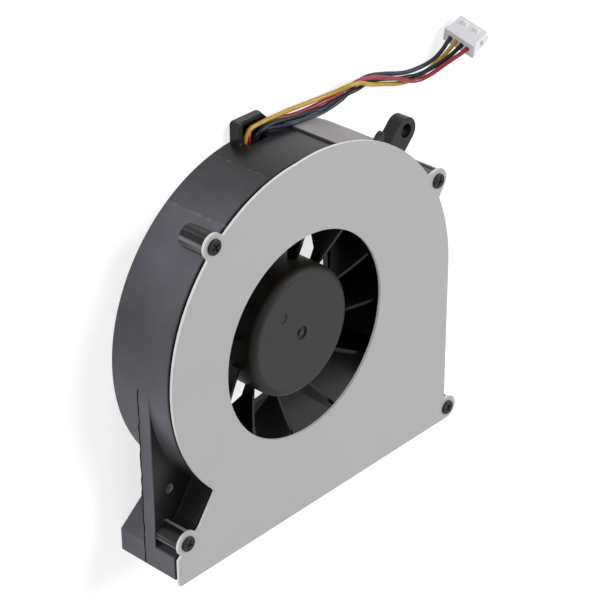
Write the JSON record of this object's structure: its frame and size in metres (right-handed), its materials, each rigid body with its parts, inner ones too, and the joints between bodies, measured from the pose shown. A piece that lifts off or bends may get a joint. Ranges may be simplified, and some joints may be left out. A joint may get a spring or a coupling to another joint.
{
  "type": "laptop blower fan",
  "caption": "Flat centrifugal fan for a laptop: moulded spiral casing with a sheet-metal cover, round inlet, bladed hub, side outlet, eyelet lug and thin leads that end in a small plug.",
  "frame": {"origin": "on the rotor's axis, in the plane of the casing's back face, on which the fan lies", "axes": "+Z along the rotor's axis, out of the cover plate; -Y out of the air outlet; +X along the outlet's edge, towards the straight side"},
  "size_m": [0.088, 0.0728, 0.0144],
  "materials": {
    "casing_plastic": "fine matte, moulded",
    "cover_sheet": "satin sheet with bright cut edges",
    "screw_steel": "black plated",
    "impeller_plastic": "semi-gloss, moulded",
    "yoke_steel": "drawn steel",
    "magnet_ferrite": "matte grey",
    "shaft_steel": "ground",
    "holder_brass": "turned",
    "sleeve_bronze": "sintered",
    "pad_plastic": "smooth",
    "seal_plastic": "smooth",
    "core_steel": "laminated",
    "insulator_plastic": "moulded",
    "coil_copper": "enamelled copper",
    "board_laminate": "green solder mask",
    "chip_epoxy": "moulded",
    "solder_tin": "dull tin",
    "lead_yellow": "smooth insulation",
    "lead_red": "smooth insulation",
    "lead_black": "smooth insulation",
    "lead_blue": "smooth insulation",
    "plug_nylon": "natural white nylon",
    "terminal_tin": "tinned"
  },
  "bodies": {
    "housing": {"casing": "casing_plastic", "cover_plate": "cover_sheet", "cover_screws": "screw_steel", "bearing_holder": "holder_brass", "bearing_sleeve": "sleeve_bronze", "thrust_pad": "pad_plastic", "oil_seal": "seal_plastic", "stator_core": "core_steel", "lower_insulator": "insulator_plastic", "upper_insulator": "insulator_plastic", "coil_1": "coil_copper", "coil_2": "coil_copper", "coil_3": "coil_copper", "coil_4": "coil_copper", "circuit_board": "board_laminate", "driver_chip": "chip_epoxy", "solder_joints": "solder_tin", "wire_yellow": "lead_yellow", "wire_red": "lead_red", "wire_black": "lead_black", "wire_blue": "lead_blue", "plug_housing": "plug_nylon", "plug_terminals": "terminal_tin"},
    "rotor": {"impeller": "impeller_plastic", "rotor_yoke": "yoke_steel", "magnet_ring": "magnet_ferrite", "shaft": "shaft_steel", "retaining_ring": "pad_plastic"}
  },
  "joints": [
    {"name": "rotor_spin", "type": "hinge", "parent": "housing", "child": "rotor", "pos_m": [0, 0, 0], "axis": [0, 0, 1], "continuous": true}
  ]
}
